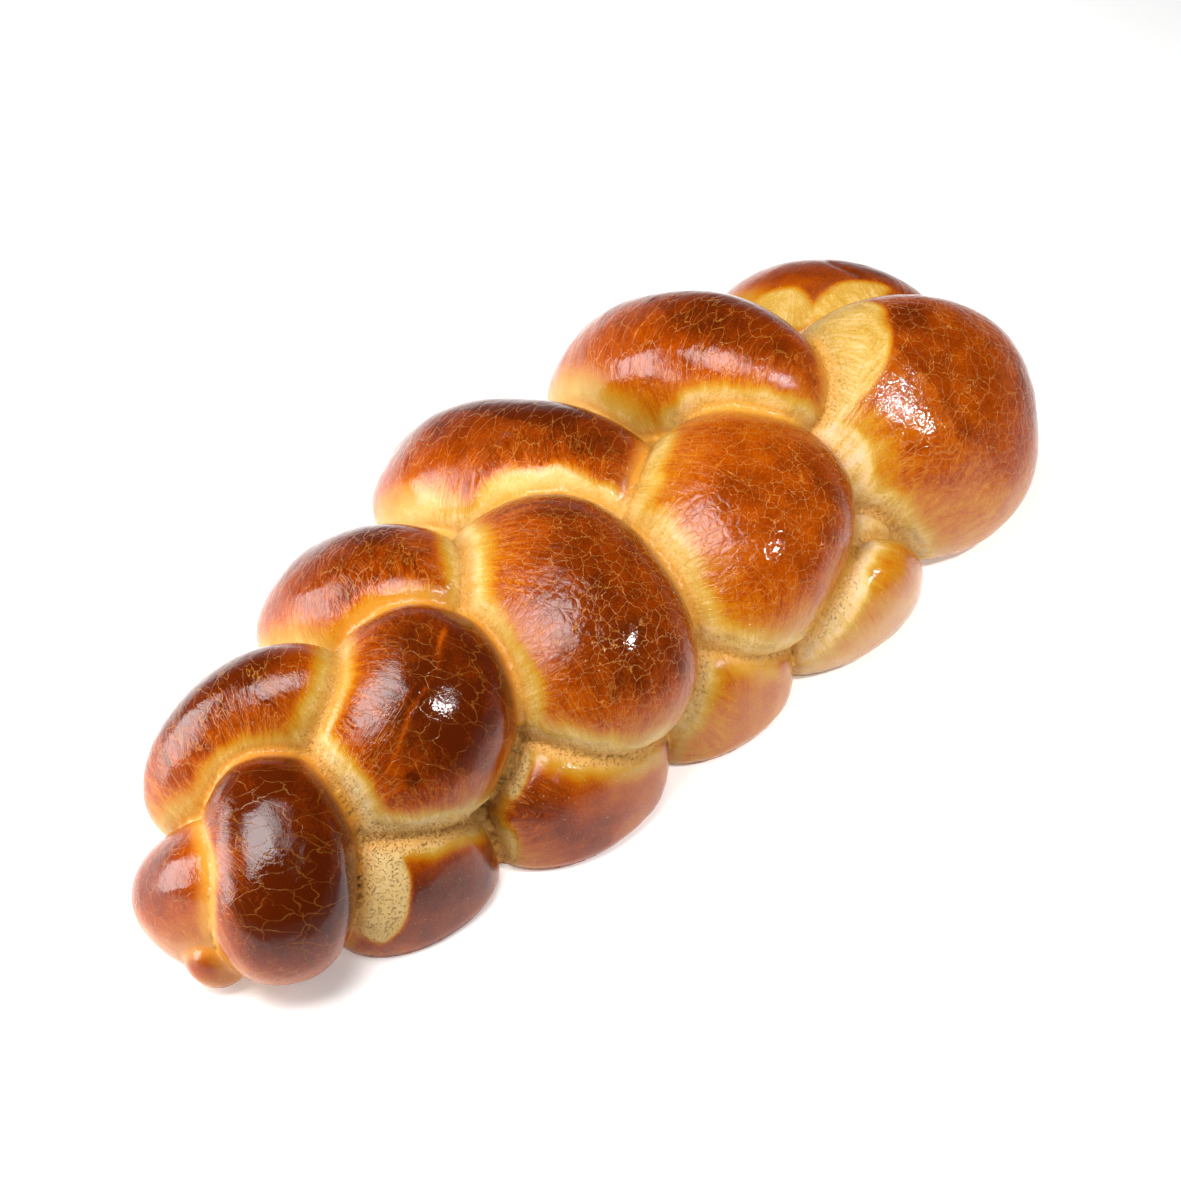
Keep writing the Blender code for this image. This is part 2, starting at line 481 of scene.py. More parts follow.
SPOTS = (
    Spot("M5", (110, -18, 80), (1, 0, 0), (36, 25), 2.5, 0.17, 0.22),
    Spot("M5", (147, -33, 82), (1, 0, 0), (9, 7), 8.0, 0.94),
    Spot("M2", (-116.6, -42.6, 58.3), (1, 0, 0), (2.4, 2.2), 1.5, 1.06),
    Spot("B1", (-139.5, -48.5, 26), (13, 12, 25), (22, 11), 2.5, 0.13, 0.9, -0.7, True),
    Spot("M5", (127, -69, 55), (0, 0, 1), (24, 22), 2.0, None, 0.0, 2.6),
    Spot("B2", (-76, -49, 36), (8, 6, 6), (12, 6), 3.5, 0.18, 0.8, -0.5, True),
    Spot("B2", (-89, -57, 11), (0, 0, 1), (10, 4.5), 3.0, 0.18, 0.7, -0.4, True),
    Spot("B2", (-25, -68, 24), (0, 0, 1), (7, 6), 6.0, 0.86, 0.0, 1.6),
    Spot("B3", (31, -73, 25), (0, 0, 1), (7, 6), 6.0, 0.78, 0.0, 1.6),
    Spot("L6", (143, 22, 60), (0, 1, 0), (17, 9), 4.0, 0.20, 0.15, -0.4, True),
    Spot("L6", (159, 2, 65), (22, -9, 1), (19, 8), 4.0, 0.22, 0.15, -0.4, True),
)
CREASES = (
    Crease(
        (
            (-73, -17, 80), (-81, -21, 80), (-88, -27, 78), (-97, -30, 76),
            (-105, -31, 73), (-114, -35, 67), (-122, -36, 60),
        ),
        0.7, 0.30, 0.40, 0.50,
    ),
    Crease(
        (
            (-75, -15, 80), (-84, -19, 80), (-91, -24, 78), (-99, -27, 77),
            (-108, -28, 73), (-117, -32, 66),
        ),
        0.6, -0.22, 0.50, 0.40,
    ),
    Crease(((176, 33, 57), (171, 19, 64), (171, 8, 65)), 1.2, 0.6, 1.0, 0.5),
)


@dataclass
class Loaf:
    """The loaf itself: one closed mesh with its crust.

    Attributes:
        humps: The humps that it is made of.
        seams: What is known of the folds between them.
        spots: Places where the crust is unlike the rest.
        creases: Lines in the skin.
        voxel: Size of the mesh's faces, in millimetres.
        fillet: How far the dough of two humps blends across a fold, in millimetres.
        foot_radius: Rounding where the loaf meets what it rests on, in millimetres.
    """

    humps: tuple[Hump, ...] = HUMPS
    seams: tuple[Seam, ...] = SEAMS
    spots: tuple[Spot, ...] = SPOTS
    creases: tuple[Crease, ...] = CREASES
    voxel: float = 1.4
    fillet: float = 2.0
    foot_radius: float = 5.0
    marks: dict[str, np.ndarray] = field(default_factory=dict)

    def outside(self, points: np.ndarray) -> np.ndarray:
        """Signed distance from the loaf: the nearest humps blended, and cut by the floor."""
        near = np.sort(np.stack([hump.gap(points) for hump in self.humps]), axis=0)
        blended = near[0]
        for other in near[1:3]:
            share = np.clip(0.5 + 0.5 * (other - blended) / self.fillet, 0, 1)
            blended = other * (1 - share) + blended * share - self.fillet * share * (1 - share)
        below = -points[:, 2]
        share = np.clip(0.5 - 0.5 * (below - blended) / self.foot_radius, 0, 1)
        round_off = self.foot_radius * share * (1 - share)
        return below * (1 - share) + blended * share + round_off

    def slope(self, points: np.ndarray) -> np.ndarray:
        """The direction straight out of the loaf at each point."""
        step = 0.25
        found = np.zeros_like(points)
        for axis in range(3):
            nudge = np.zeros(3)
            nudge[axis] = step
            found[:, axis] = self.outside(points + nudge) - self.outside(points - nudge)
        return found / (np.linalg.norm(found, axis=1, keepdims=True) + 1e-9)

    def _joined(self) -> bpy.types.Mesh:
        """All humps joined into one even mesh by a voxel remesh."""
        points: list[tuple[float, ...]] = []
        faces: list[tuple[int, ...]] = []
        for hump in self.humps:
            skin, skin_faces = hump.skin(72, 40)
            first = len(points)
            points.extend(map(tuple, skin * MM))
            faces.extend(tuple(first + corner for corner in face) for face in skin_faces)
        rough = bpy.data.meshes.new("humps")
        rough.from_pydata(points, [], faces)
        helper = bpy.data.objects.new("helper", rough)
        bpy.context.scene.collection.objects.link(helper)
        remesh = helper.modifiers.new("Join", "REMESH")
        remesh.mode = "VOXEL"
        remesh.voxel_size = self.voxel * MM
        graph = bpy.context.evaluated_depsgraph_get()
        mesh = bpy.data.meshes.new_from_object(helper.evaluated_get(graph))
        bpy.data.objects.remove(helper)
        bpy.data.meshes.remove(rough)
        return mesh

    def _cut(self, mesh: bpy.types.Mesh, height: float) -> None:
        """Takes away what lies below a height, leaving the mesh open there."""
        bm = bmesh.new()
        bm.from_mesh(mesh)
        everything = bm.verts[:] + bm.edges[:] + bm.faces[:]
        bmesh.ops.bisect_plane(
            bm,
            geom=everything,
            dist=0.01 * MM,
            plane_co=(0, 0, height * MM),
            plane_no=(0, 0, 1),
            clear_inner=True,
        )
        bm.to_mesh(mesh)
        bm.free()

    def _close(self, mesh: bpy.types.Mesh) -> None:
        """Closes the underside with one flat face cut into triangles."""
        bm = bmesh.new()
        bm.from_mesh(mesh)
        rim = [edge for edge in bm.edges if edge.is_boundary]
        for edge in rim:
            for vertex in edge.verts:
                vertex.co.z = 0.0
        bmesh.ops.holes_fill(bm, edges=rim, sides=0)
        large = [face for face in bm.faces if len(face.verts) > 4]
        bmesh.ops.triangulate(bm, faces=large)
        bmesh.ops.recalc_face_normals(bm, faces=bm.faces[:])
        bm.to_mesh(mesh)
        bm.free()

    def _settled(self, points: np.ndarray) -> np.ndarray:
        """Points moved out or in until they lie on the loaf's surface."""
        for _ in range(3):
            points = points - self.slope(points) * self.outside(points)[:, None]
        return points

    def _folds(self, mesh: bpy.types.Mesh, points: np.ndarray) -> dict[tuple[int, int], np.ndarray]:
        """Works out for each point whose dough it is, and where one hump's dough meets another's.

        Args:
            mesh: The mesh that the points belong to.
            points: In millimetres.

        Returns:
            For each two humps that meet, by rank, points along their fold.
        """
        gaps = np.stack([hump.gap(points) for hump in self.humps])
        owner = gaps.argmin(axis=0)
        edges = np.empty(len(mesh.edges) * 2, np.int32)
        mesh.edges.foreach_get("vertices", edges)
        edges = edges.reshape(-1, 2)
        first, second = owner[edges[:, 0]], owner[edges[:, 1]]
        crossing = first != second
        edges, first, second = edges[crossing], first[crossing], second[crossing]
        rows = np.arange(len(edges))
        at_first = gaps[:, edges[:, 0]]
        at_second = gaps[:, edges[:, 1]]
        lead = at_first[second, rows] - at_first[first, rows]
        trail = at_second[first, rows] - at_second[second, rows]
        share = (lead / (lead + trail + 1e-9))[:, None]
        crossings = points[edges[:, 0]] * (1 - share) + points[edges[:, 1]] * share
        low, high = np.minimum(first, second), np.maximum(first, second)
        self.marks["owner"] = owner
        found = {}
        for over, under in sorted(set(zip(low.tolist(), high.tolist()))):
            line = crossings[(low == over) & (high == under)]
            if len(line) >= 6:
                found[over, under] = line
        return found

    def _bake(self, mesh: bpy.types.Mesh, points: np.ndarray) -> None:
        """Works out how the crust is at each point, from the folds, spots and creases near it.

        Args:
            mesh: The mesh that the points belong to.
            points: In millimetres.
        """
        folds = self._folds(mesh, points)
        owner = self.marks["owner"]
        count = len(points)
        rise = self.slope(points)[:, 2]
        brown = np.array([hump.brown for hump in self.humps])[owner]
        brown = brown * (0.66 + 0.36 * smooth(rise, -0.3, 0.6)) + 0.05 * Noise(5).at(points, 20.0, 2)
        wobble = Noise(6).at(points, 13.0, 2) + 0.5 * Noise(7).at(points, 4.5)
        baked = brown.copy()
        fold, reach = np.full(count, FAR), np.full(count, 6.0)
        along, torn, sunk, turning = (np.zeros(count) for _ in range(4))
        for (over, under), line in folds.items():
            top, bottom = self.humps[over], self.humps[under]
            names = top.name, bottom.name
            seams = [seam for seam in self.seams if (seam.over, seam.under) == names]
            for seam in seams or [Seam(*names)]:
                for rank, side in ((under, seam.lower), (over, seam.upper)):
                    mine = np.flatnonzero(owner == rank)
                    away = nearest_of(points[mine], line)
                    mine, away = mine[away < 45], away[away < 45]
                    out = away + wobble[mine] * (0.5 + 0.22 * side.bare)
                    share = 0.62 * smooth(out, side.bare, side.bare + side.turn)
                    share += 0.38 * smooth(out, side.bare, side.bare + 3.8 * side.turn)
                    level = side.pale + np.maximum(brown[mine] - side.pale, 0) * share
                    fold[mine] = np.minimum(fold[mine], away)
                    lowered = level < baked[mine]
                    baked[mine[lowered]] = level[lowered]
                    edge = 1 - smooth(out, 0.6 * side.bare, side.bare + 0.25 * side.turn)
                    edge *= side.bare > 1.0
                    torn[mine] = np.maximum(torn[mine], seam.torn * edge)
                    if rank == under:
                        turning[mine] = np.maximum(turning[mine], 4 * share * (1 - share))
                        sunk[mine] = np.maximum(sunk[mine], seam.sunk * edge)
                    near = away / (side.bare + side.turn)
                    closer = near < reach[mine]
                    chosen = mine[closer]
                    reach[chosen] = near[closer]
                    local = top.straightened(points[chosen]) / np.array(top.half)
                    size = (top.half[0] + top.half[1]) / 2
                    along[chosen] = np.arctan2(local[:, 1], local[:, 0]) * size + 400 * over
        raised = -sunk
        for spot in self.spots:
            mine = np.flatnonzero(owner == [hump.name for hump in self.humps].index(spot.hump))
            out = spot.away(points[mine]) + 0.6 * wobble[mine]
            share = 1 - smooth(out, -spot.turn / 2, spot.turn / 2)
            if spot.baked is not None:
                baked[mine] += (spot.baked - baked[mine]) * share
            torn[mine] = np.maximum(torn[mine], spot.torn * share)
            raised[mine] += spot.raised * (1 - smooth(out, -min(spot.half), spot.turn))
        for crease in self.creases:
            off = crease.away(points) + 0.5 * wobble
            share = np.exp(-((off / crease.width) ** 2))
            raised -= crease.depth * share
            baked += (crease.baked - baked) * share * crease.share
        baked = self._softened(mesh, baked, fold)
        self.marks.update(
            baked=baked, fold=fold, along=along, torn=torn, raised=raised, turning=turning
        )

    def _softened(
        self, mesh: bpy.types.Mesh, values: np.ndarray, fold: np.ndarray
    ) -> np.ndarray:
        """Values evened out over the points that lie right in a fold."""
        edges = np.empty(len(mesh.edges) * 2, np.int32)
        mesh.edges.foreach_get("vertices", edges)
        first, second = edges.reshape(-1, 2).T
        count = 1 + np.bincount(np.concatenate([first, second]), minlength=len(values))
        for _ in range(4):
            total = values.copy()
            total += np.bincount(first, values[second], len(values))
            total += np.bincount(second, values[first], len(values))
            values = np.where(fold < 2.2, total / count, values)
        return values

    def _relief(self, points: np.ndarray) -> np.ndarray:
        """How far each point is raised from the smooth humps, in millimetres."""
        marks = self.marks
        raised = 0.8 * Noise(1).at(points, 34.0) + 0.30 * Noise(2).at(points, 14.0)
        raised += 0.09 * Noise(3).at(points, 5.0, 2) + marks["raised"]
        pits = Noise(4).at(points, 3.4, 2)
        raised -= marks["torn"] * (0.3 + 0.9 * np.abs(pits))
        groove = 1 - smooth(marks["fold"], 0.0, 2.4)
        raised -= groove * (0.5 + 0.9 * marks["torn"])
        return raised * smooth(points[:, 2], 0.0, 5.0)

    def _write_marks(self, mesh: bpy.types.Mesh, points: np.ndarray) -> None:
        """Writes what the crust's shader reads onto the mesh.

        Args:
            mesh: The finished mesh.
            points: Where its points were before the relief was raised, in millimetres.
        """
        marks = self.marks
        owner = marks["owner"]
        strength = np.array([hump.crackle.strength for hump in self.humps])[owner]
        crackled = strength * smooth(marks["baked"], 0.34, 0.58)
        for name, values in (
            ("baked", marks["baked"]),
            ("fold", marks["fold"]),
            ("torn", marks["torn"]),
            ("turning", marks["turning"]),
            ("crackled", crackled),
        ):
            mark = mesh.attributes.new(name, "FLOAT", "POINT")
            mark.data.foreach_set("value", values.astype(np.float32))

        corner_point = np.empty(len(mesh.loops), np.int32)
        mesh.loops.foreach_get("vertex_index", corner_point)
        start = np.empty(len(mesh.polygons), np.int32)
        total = np.empty(len(mesh.polygons), np.int32)
        mesh.polygons.foreach_get("loop_start", start)
        mesh.polygons.foreach_get("loop_total", total)
        corner_owner = np.repeat(owner[corner_point[start]], total)
        strand = np.zeros((len(mesh.loops), 3))
        streak = np.zeros((len(mesh.loops), 3))
        for number, hump in enumerate(self.humps):
            mine = corner_owner == number
            if not mine.any():
                continue
            straight = hump.straightened(points[corner_point[mine]])
            wide = hump.crackle.cell * hump.crackle.stretch
            size = np.array([hump.crackle.cell, wide, wide])
            strand[mine] = straight / size + 17.0 * number
        anchor = np.repeat(marks["along"][corner_point[start]], total)
        along = marks["along"][corner_point]
        jumped = np.abs(along - anchor) > 30.0
        streak[:, 0] = np.where(jumped, anchor, along)
        streak[:, 1] = marks["fold"][corner_point]
        for name, values in (("strand", strand), ("streak", streak)):
            mark = mesh.attributes.new(name, "FLOAT_VECTOR", "CORNER")
            mark.data.foreach_set("vector", values.astype(np.float32).ravel())

    def build(self, finish: bpy.types.Material) -> bpy.types.Object:
        """Makes the loaf.

        Args:
            finish: Its crust.

        Returns:
            The object, with its points in place.
        """
        mesh = self._joined()
        self._cut(mesh, -0.6)
        points = np.empty(len(mesh.vertices) * 3, np.float32)
        mesh.vertices.foreach_get("co", points)
        points = self._settled(points.reshape(-1, 3).astype(np.float64) / MM)
        mesh.vertices.foreach_set("co", (points * MM).astype(np.float32).ravel())
        self._close(mesh)
        points = np.empty(len(mesh.vertices) * 3, np.float32)
        mesh.vertices.foreach_get("co", points)
        points = points.reshape(-1, 3).astype(np.float64) / MM
        self._bake(mesh, points)
        raised = points + self.slope(points) * self._relief(points)[:, None]
        raised[:, 2] = np.maximum(raised[:, 2], 0.0)
        mesh.vertices.foreach_set("co", (raised * MM).astype(np.float32).ravel())
        self._write_marks(mesh, points)
        mesh.materials.clear()
        mesh.materials.append(finish)
        mesh.shade_smooth()
        mesh.name = "braided_loaf"
        loaf = bpy.data.objects.new("braided_loaf", mesh)
        bpy.context.scene.collection.objects.link(loaf)
        mesh.calc_loop_triangles()
        log.info("loaf: %d points, %d triangles", len(mesh.vertices), len(mesh.loop_triangles))
        return loaf


def add_node(
    tree: bpy.types.NodeTree, kind: str, inputs: dict | None = None, **settings: object
) -> bpy.types.Node:
    """Adds a node with its settings and links.

    Args:
        tree: The tree that it goes in.
        kind: Blender's name of the node.
        inputs: For each input, by name or number, the socket that feeds it or its value.
        **settings: The node's own settings.

    Returns:
        The node.
    """
    node = tree.nodes.new(kind)
    for name, value in settings.items():
        setattr(node, name, value)
    for key, value in (inputs or {}).items():
        if isinstance(value, bpy.types.NodeSocket):
            tree.links.new(value, node.inputs[key])
        else:
            node.inputs[key].default_value = value
    return node


@dataclass(frozen=True)
class EggWashedCrust:
    """Bread crust brushed with beaten egg before baking.

    The egg dries to a thin clear glaze with the reflection of varnish, and it crazes as the loaf
    rises. Dough that came out from under a strand later has no egg on it: it is pale and matt.

    Attributes:
        stops: How baked the crust is, from 0 to 1, and its colour there.
        crack: Colour of the dough in the cracks of the glaze.
        crumb: Colour of torn crumb.
        speck: Colour of the small specks in the glaze.
        pore_shade: Painted shade down in the pores of torn crumb and along torn folds.
        painted_fold_glow: Painted light: a warm colour laid deep in a fold, standing for light that
            has gone through the dough and bounced between its sides.
        glaze_roughness: Of the glaze.
        bare_roughness: Of pale dough.
    """

    stops: tuple[tuple[float, str], ...] = (
        (0.00, "#d2b68c"),
        (0.10, "#cda867"),
        (0.20, "#b9923f"),
        (0.35, "#b07c20"),
        (0.50, "#ac680b"),
        (0.60, "#a35405"),
        (0.72, "#933d02"),
        (0.80, "#803102"),
        (0.88, "#6d2602"),
        (0.95, "#5c1f02"),
        (1.00, "#4e1802"),
    )
    crack: str = "#c98732"
    crumb: str = "#cfae74"
    speck: str = "#e0b878"
    # painted shade in pores and torn folds
    pore_shade: str = "#8a4a18"
    # painted light deep in folds, not a colour of the dough
    painted_fold_glow: str = "#c78734"
    glaze_roughness: float = 0.065
    bare_roughness: float = 0.55

    def build(self) -> bpy.types.Material:
        """Makes the material."""
        material = bpy.data.materials.new("egg_washed_crust")
        material.use_nodes = True
        tree = material.node_tree
        tree.nodes.clear()
        place = add_node(tree, "ShaderNodeTexCoord").outputs["Object"]
        in_mm = add_node(
            tree, "ShaderNodeVectorMath", {0: place, 1: (1000, 1000, 1000)}, operation="MULTIPLY"
        ).outputs[0]
        marks = {
            name: add_node(tree, "ShaderNodeAttribute", attribute_name=name)
            for name in ("baked", "fold", "torn", "turning", "crackled", "strand", "streak")
        }
        baked = marks["baked"].outputs["Fac"]
        fold = marks["fold"].outputs["Fac"]
        torn = marks["torn"].outputs["Fac"]
        turning = marks["turning"].outputs["Fac"]
        crackled = marks["crackled"].outputs["Fac"]

        # Stretched dough shows as streaks straight out of the fold, 1 to 2 mm wide.
        streak_place = add_node(
            tree,
            "ShaderNodeVectorMath",
            {0: marks["streak"].outputs["Vector"], 1: (0.62, 0.09, 0.0)},
            operation="MULTIPLY",
        ).outputs[0]
        streak = add_node(
            tree,
            "ShaderNodeTexNoise",
            {"Vector": streak_place, "Scale": 1.0, "Detail": 5.0, "Roughness": 0.68},
        ).outputs["Fac"]
        streak_share = add_node(
            tree,
            "ShaderNodeMapRange",
            {"Value": turning, "To Min": 0.14, "To Max": 0.62},
        ).outputs[0]
        streak_share = add_node(
            tree, "ShaderNodeMath", {0: torn, 1: 0.25, 2: streak_share}, operation="MULTIPLY_ADD"
        ).outputs[0]
        streak_push = add_node(
            tree, "ShaderNodeMath", {0: streak, 1: 0.5}, operation="SUBTRACT"
        ).outputs[0]
        streak_push = add_node(
            tree, "ShaderNodeMath", {0: streak_push, 1: streak_share}, operation="MULTIPLY"
        ).outputs[0]
        # The skin is uneven in blotches of about 9 mm and in a fine mottle of about 1 mm.
        blotch = add_node(
            tree, "ShaderNodeTexNoise", {"Vector": in_mm, "Scale": 0.11, "Detail": 3.0}
        ).outputs["Fac"]
        blotch_push = add_node(
            tree,
            "ShaderNodeMapRange",
            {"Value": blotch, "From Min": 0.3, "From Max": 0.7, "To Min": -0.06, "To Max": 0.06},
        ).outputs[0]
        mottle = add_node(
            tree, "ShaderNodeTexNoise", {"Vector": in_mm, "Scale": 1.1, "Detail": 3.0}
        ).outputs["Fac"]
        mottle_push = add_node(
            tree,
            "ShaderNodeMapRange",
            {"Value": mottle, "From Min": 0.3, "From Max": 0.7, "To Min": -0.05, "To Max": 0.05},
        ).outputs[0]
        done = baked
        for push in (streak_push, blotch_push, mottle_push):
            done = add_node(
                tree, "ShaderNodeMath", {0: done, 1: push}, operation="ADD"
            ).outputs[0]
        ramp = add_node(tree, "ShaderNodeValToRGB", {"Fac": done})
        self._set_stops(ramp.color_ramp)
        colour = ramp.outputs["Color"]

        # The glaze crazes into cells of 3 to 6 mm. The cracks are drawn about 0.3 mm wide.
        place_in_net = marks["strand"].outputs["Vector"]
        for scale, strength in ((1.1, 0.75), (4.5, 0.17)):
            wander = add_node(
                tree,
                "ShaderNodeTexNoise",
                {"Vector": place_in_net, "Scale": scale, "Detail": 2.0},
            ).outputs["Color"]
            wander = add_node(
                tree,
                "ShaderNodeVectorMath",
                {0: wander, 1: (strength, strength, strength)},
                operation="MULTIPLY",
            ).outputs[0]
            place_in_net = add_node(
                tree, "ShaderNodeVectorMath", {0: place_in_net, 1: wander}, operation="ADD"
            ).outputs[0]
        patchy = add_node(
            tree, "ShaderNodeTexNoise", {"Vector": in_mm, "Scale": 0.15, "Detail": 4.0}
        ).outputs["Fac"]
        crack = pillow = None
        for scale, width, low, high in ((1.0, 0.025, 0.38, 0.60), (0.47, 0.012, 0.62, 0.40)):
            edge = add_node(
                tree,
                "ShaderNodeTexVoronoi",
                {"Vector": place_in_net, "Scale": scale},
                feature="DISTANCE_TO_EDGE",
            ).outputs["Distance"]
            line = add_node(
                tree,
                "ShaderNodeMapRange",
                {"Value": edge, "From Min": width, "From Max": 0.004},
                interpolation_type="SMOOTHSTEP",
            ).outputs[0]
            share = add_node(
                tree,
                "ShaderNodeMapRange",
                {"Value": patchy, "From Min": low, "From Max": high, "To Min": 0.15},
            ).outputs[0]
            line = add_node(
                tree, "ShaderNodeMath", {0: line, 1: share}, operation="MULTIPLY"
            ).outputs[0]
            if pillow is None:
                pillow = add_node(
                    tree,
                    "ShaderNodeMapRange",
                    {"Value": edge, "From Max": 0.30},
                    interpolation_type="SMOOTHSTEP",
                ).outputs[0]
                pillow = add_node(
                    tree, "ShaderNodeMath", {0: pillow, 1: crackled}, operation="MULTIPLY"
                ).outputs[0]
            if crack is not None:
                line = add_node(
                    tree, "ShaderNodeMath", {0: line, 1: crack}, operation="MAXIMUM"
                ).outputs[0]
            crack = line
        crack = add_node(
            tree, "ShaderNodeMath", {0: crack, 1: crackled}, operation="MULTIPLY"
        ).outputs[0]
        # Where the crust turns pale, it has stretched into thin lines straight out of the fold.
        strain = add_node(
            tree,
            "ShaderNodeTexNoise",
            {"Vector": streak_place, "Scale": 1.3, "Detail": 1.0, "Distortion": 0.5},
        ).outputs["Fac"]
        strain = add_node(
            tree, "ShaderNodeMath", {0: strain, 1: 0.5}, operation="SUBTRACT"
        ).outputs[0]
        strain = add_node(tree, "ShaderNodeMath", {0: strain}, operation="ABSOLUTE").outputs[0]
        strain = add_node(
            tree,
            "ShaderNodeMapRange",
            {"Value": strain, "From Min": 0.022, "From Max": 0.004, "To Max": 0.6},
        ).outputs[0]
        strain = add_node(
            tree, "ShaderNodeMath", {0: strain, 1: turning}, operation="MULTIPLY"
        ).outputs[0]
        crack = add_node(
            tree, "ShaderNodeMath", {0: crack, 1: strain}, operation="MAXIMUM"
        ).outputs[0]
        crack_share = add_node(
            tree, "ShaderNodeMath", {0: crack, 1: 0.55}, operation="MULTIPLY"
        ).outputs[0]
        colour = add_node(
            tree,
            "ShaderNodeMix",
            {0: crack_share, 6: colour, 7: linear(self.crack)},
            data_type="RGBA",
        ).outputs[2]

        # Where the glaze is whole, it has small pale specks, about 0.4 mm across.
        whole = add_node(
            tree,
            "ShaderNodeMapRange",
            {"Value": crackled, "From Min": 0.14, "From Max": 0.10, "To Max": 0.45},
        ).outputs[0]
        speck = add_node(
            tree, "ShaderNodeMapRange", {"Value": mottle, "From Min": 0.655, "From Max": 0.70}
        ).outputs[0]
        speck = add_node(
            tree, "ShaderNodeMath", {0: speck, 1: whole}, operation="MULTIPLY"
        ).outputs[0]
        colour = add_node(
            tree,
            "ShaderNodeMix",
            {0: speck, 6: colour, 7: linear(self.speck)},
            data_type="RGBA",
        ).outputs[2]

        # Torn crumb is fibrous, with pores about 1 mm across.
        fibre = add_node(
            tree,
            "ShaderNodeTexNoise",
            {"Vector": in_mm, "Scale": 1.25, "Detail": 3.0, "Roughness": 0.65},
        ).outputs["Fac"]
        crumb_share = add_node(
            tree,
            "ShaderNodeMapRange",
            {"Value": torn, "From Min": 0.35, "From Max": 0.9, "To Max": 0.8},
        ).outputs[0]
        colour = add_node(
            tree,
            "ShaderNodeMix",
            {0: crumb_share, 6: colour, 7: linear(self.crumb)},
            data_type="RGBA",
        ).outputs[2]
        # Painted shade: the pores are darkened where shade falls inside them.
        pore_shade = add_node(
            tree,
            "ShaderNodeMapRange",
            {"Value": fibre, "From Min": 0.46, "From Max": 0.30},
            interpolation_type="SMOOTHSTEP",
        ).outputs[0]
        pore_shade = add_node(
            tree, "ShaderNodeMath", {0: pore_shade, 1: torn}, operation="MULTIPLY"
        ).outputs[0]
        # Painted shade: a torn fold is drawn as a ragged dark line about 1 mm wide.
        torn_fold_shade = add_node(
            tree, "ShaderNodeMath", {0: mottle, 1: 3.2, 2: fold}, operation="MULTIPLY_ADD"
        ).outputs[0]
        torn_fold_shade = add_node(
            tree,
            "ShaderNodeMapRange",
            {"Value": torn_fold_shade, "From Min": 2.2, "From Max": 1.5},
            interpolation_type="SMOOTHSTEP",
        ).outputs[0]
        torn_fold_shade = add_node(
            tree, "ShaderNodeMath", {0: torn_fold_shade, 1: torn}, operation="MULTIPLY"
        ).outputs[0]
        hollow = add_node(
            tree, "ShaderNodeMath", {0: pore_shade, 1: torn_fold_shade}, operation="MAXIMUM"
        ).outputs[0]
        # The pores and torn folds are laid over the colour as painted shade.
        hollow_shade_share = add_node(
            tree, "ShaderNodeMath", {0: hollow, 1: 0.42}, operation="MULTIPLY"
        ).outputs[0]
        colour = add_node(
            tree,
            "ShaderNodeMix",
            {0: hollow_shade_share, 6: colour, 7: linear(self.pore_shade)},
            data_type="RGBA",
        ).outputs[2]

        # Painted light: a warm colour laid deep in each fold stands for light that has gone through
        # the dough and bounced between its sides.
        shade = add_node(
            tree,
            "ShaderNodeMapRange",
            {"Value": fold, "From Max": 6.0, "To Min": 0.60, "To Max": 0.0},
            interpolation_type="SMOOTHSTEP",
        ).outputs[0]
        colour = add_node(
            tree,
            "ShaderNodeMix",
            {0: shade, 6: colour, 7: linear(self.painted_fold_glow)},
            data_type="RGBA",
        ).outputs[2]

        glazed = add_node(
            tree,
            "ShaderNodeMapRange",
            {"Value": done, "From Min": 0.08, "From Max": 0.26},
            interpolation_type="SMOOTHSTEP",
        ).outputs[0]
        dull = add_node(
            tree, "ShaderNodeMath", {0: crack, 1: 0.2, 2: torn}, operation="MULTIPLY_ADD"
        ).outputs[0]
        glazed = add_node(
            tree, "ShaderNodeMath", {0: glazed, 1: dull}, operation="SUBTRACT", use_clamp=True
        ).outputs[0]
        roughness = add_node(
            tree,
            "ShaderNodeMapRange",
            {"Value": glazed, "To Min": self.bare_roughness, "To Max": self.glaze_roughness},
        ).outputs[0]
        shine = add_node(
            tree, "ShaderNodeMapRange", {"Value": glazed, "To Min": 0.12, "To Max": 0.5}
        ).outputs[0]

        # The skin wrinkles in waves of 2 to 4 mm, and the cracks and pores are sunk in it.
        wrinkle = add_node(
            tree,
            "ShaderNodeTexNoise",
            {"Vector": in_mm, "Scale": 0.42, "Detail": 3.0, "Roughness": 0.6},
        ).outputs["Fac"]
        streaked = add_node(
            tree, "ShaderNodeMath", {0: streak, 1: streak_share}, operation="MULTIPLY"
        ).outputs[0]
        height: bpy.types.NodeSocket | float = 0.0
        for part, depth in (
            (wrinkle, 0.08),
            (mottle, 0.035),
            (pillow, 0.06),
            (crack, -0.08),
            (streaked, 0.45),
            (hollow, -0.50),
        ):
            height = add_node(
                tree, "ShaderNodeMath", {0: part, 1: depth, 2: height}, operation="MULTIPLY_ADD"
            ).outputs[0]
        bump = add_node(
            tree, "ShaderNodeBump", {"Strength": 1.0, "Distance": MM, "Height": height}
        ).outputs["Normal"]
        surface = add_node(
            tree,
            "ShaderNodeBsdfPrincipled",
            {
                "Base Color": colour,
                "Roughness": roughness,
                "Specular IOR Level": shine,
                "Normal": bump,
                "IOR": 1.42,
            },
        )
        add_node(tree, "ShaderNodeOutputMaterial", {"Surface": surface.outputs[0]})
        return material

    def _set_stops(self, ramp: bpy.types.ColorRamp) -> None:
        """Lays the stops out on a colour ramp."""
        while len(ramp.elements) < len(self.stops):
            ramp.elements.new(0.5)
        for element, (position, colour) in zip(ramp.elements, self.stops):
            element.position = position
            element.color = linear(colour)


